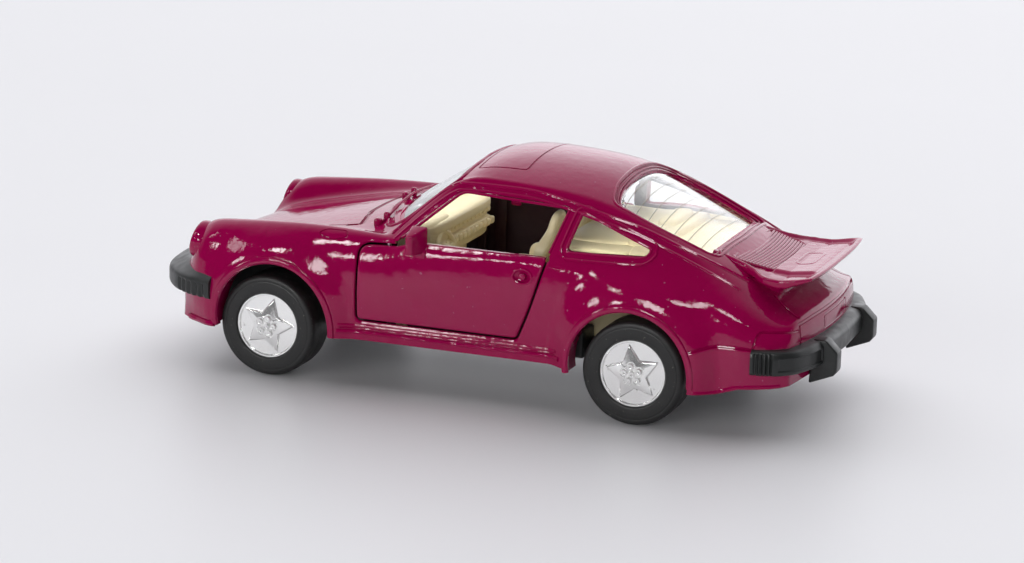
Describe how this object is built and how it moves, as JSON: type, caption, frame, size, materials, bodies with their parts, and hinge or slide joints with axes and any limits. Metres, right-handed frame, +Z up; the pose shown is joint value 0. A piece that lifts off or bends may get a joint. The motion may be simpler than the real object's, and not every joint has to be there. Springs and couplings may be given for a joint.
{
  "type": "die-cast toy car",
  "caption": "Die-cast toy coupe with a whale-tail spoiler, doors that open on hinge pins, wheels that roll on steel axles, a moulded interior and clear glazing.",
  "frame": {"origin": "on the floor, under the middle of the car's length and width", "axes": "+Z up, -Y towards the car's nose, +X towards the car's left side"},
  "size_m": [0.0494, 0.1164, 0.0376],
  "materials": {
    "paint": "gloss plum enamel on zinc",
    "glazing": "clear moulded plastic",
    "cream_plastic": "cream moulding, semi-matt",
    "black_plastic": "black moulding, semi-matt",
    "steel": "plain bright steel",
    "bright_plating": "vacuum-plated bright silver",
    "rubber": "plain black rubber"
  },
  "bodies": {
    "body": {"body_shell": "paint", "glazing": "glazing", "headlamp_lens_left": "glazing", "headlamp_lens_right": "glazing", "interior_tub": "cream_plastic", "dashboard": "cream_plastic", "steering_wheel": "cream_plastic", "base_plate": "black_plastic", "base_screw_front": "steel", "base_screw_rear": "steel", "front_bumper": "black_plastic", "rear_bumper": "black_plastic", "rear_spoiler": "paint", "door_hinge_pin_left": "steel", "door_hinge_pin_right": "steel"},
    "left_door": {"door_left": "paint"},
    "right_door": {"door_right": "paint"},
    "front_wheels": {"front_axle": "steel", "wheel_hub_front_left": "bright_plating", "wheel_hub_front_right": "bright_plating", "tyre_front_left": "rubber", "tyre_front_right": "rubber"},
    "rear_wheels": {"rear_axle": "steel", "wheel_hub_rear_left": "bright_plating", "wheel_hub_rear_right": "bright_plating", "tyre_rear_left": "rubber", "tyre_rear_right": "rubber"}
  },
  "joints": [
    {"name": "left_door_hinge", "type": "hinge", "parent": "body", "child": "left_door", "pos_m": [0.02, -0.0139, 0.0116], "axis": [0, 0, -1], "range_deg": [0, 60]},
    {"name": "right_door_hinge", "type": "hinge", "parent": "body", "child": "right_door", "pos_m": [-0.02, -0.0139, 0.0116], "axis": [0, 0, 1], "range_deg": [0, 60]},
    {"name": "front_axle_roll", "type": "hinge", "parent": "body", "child": "front_wheels", "pos_m": [0, -0.0347, 0.00836], "axis": [1, 0, 0], "continuous": true},
    {"name": "rear_axle_roll", "type": "hinge", "parent": "body", "child": "rear_wheels", "pos_m": [0, 0.0284, 0.00836], "axis": [1, 0, 0], "continuous": true}
  ]
}
